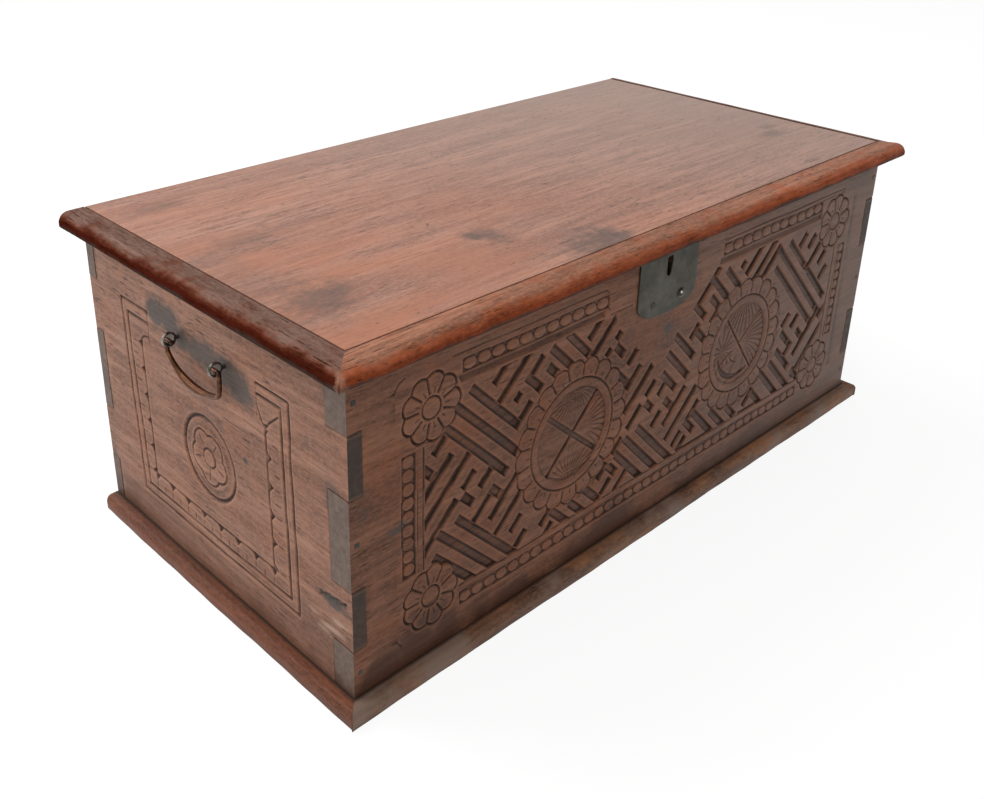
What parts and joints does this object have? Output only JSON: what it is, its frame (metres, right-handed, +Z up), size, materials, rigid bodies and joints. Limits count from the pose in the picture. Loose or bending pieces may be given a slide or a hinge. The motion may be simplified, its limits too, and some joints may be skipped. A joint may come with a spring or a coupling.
{
  "type": "carved wooden chest",
  "caption": "Long wooden chest with a carved fret front, finger-jointed corners, a moulded hinged lid, an iron lock with a sliding bolt and a swinging bail handle at each end.",
  "frame": {"origin": "the middle of the box's footprint, on the flat underside that the chest stands on", "axes": "+X along the length to the right end as seen from the front, +Y towards the hinged back, the carved front faces -Y, +Z up"},
  "size_m": [0.8404, 0.4383, 0.341],
  "materials": {
    "carcass": "satin",
    "lid": "satin",
    "mouldings": "satin",
    "floor": "matte",
    "ironwork": "matte",
    "nails": "matte",
    "bails": "satin"
  },
  "bodies": {
    "chest": {"back_board": "carcass", "base_moulding_front": "mouldings", "base_moulding_left": "mouldings", "base_moulding_nails": "nails", "base_moulding_right": "mouldings", "corner_nails": "nails", "floor_nails": "nails", "floor_plank_back": "floor", "floor_plank_front": "floor", "floor_plank_middle": "floor", "front_board": "carcass", "left_end_board": "carcass", "left_handle_eyes": "ironwork", "left_hinge_body_leaf": "ironwork", "left_hinge_body_nails": "nails", "left_hinge_pin": "ironwork", "lock_case": "ironwork", "lock_case_nails": "nails", "lock_key_post": "ironwork", "lock_plate": "ironwork", "lock_plate_nails": "nails", "right_end_board": "carcass", "right_handle_eyes": "ironwork", "right_hinge_body_leaf": "ironwork", "right_hinge_body_nails": "nails", "right_hinge_pin": "ironwork"},
    "lid": {"left_hinge_lid_leaf": "ironwork", "left_hinge_lid_nails": "nails", "lid_moulding_front": "mouldings", "lid_moulding_left": "mouldings", "lid_moulding_nails": "nails", "lid_moulding_right": "mouldings", "lid_plank": "lid", "lock_staple": "ironwork", "lock_staple_nails": "nails", "right_hinge_lid_leaf": "ironwork", "right_hinge_lid_nails": "nails"},
    "left_bail": {"left_bail": "bails"},
    "right_bail": {"right_bail": "bails"},
    "lock_bolt": {"lock_bolt": "ironwork"}
  },
  "joints": [
    {"name": "lid_hinge", "type": "hinge", "parent": "chest", "child": "lid", "pos_m": [0, 0.2073, 0.325], "axis": [-1, 0, 0], "range_deg": [0, 105]},
    {"name": "left_bail_swing", "type": "hinge", "parent": "chest", "child": "left_bail", "pos_m": [-0.4092, 0, 0.2633], "axis": [0, 1, 0], "range_deg": [-8, 187]},
    {"name": "right_bail_swing", "type": "hinge", "parent": "chest", "child": "right_bail", "pos_m": [0.4092, 0, 0.2633], "axis": [0, -1, 0], "range_deg": [-8, 187]},
    {"name": "lock_bolt_slide", "type": "slide", "parent": "chest", "child": "lock_bolt", "axis": [1, 0, 0], "range_m": [0, 0.008]}
  ]
}
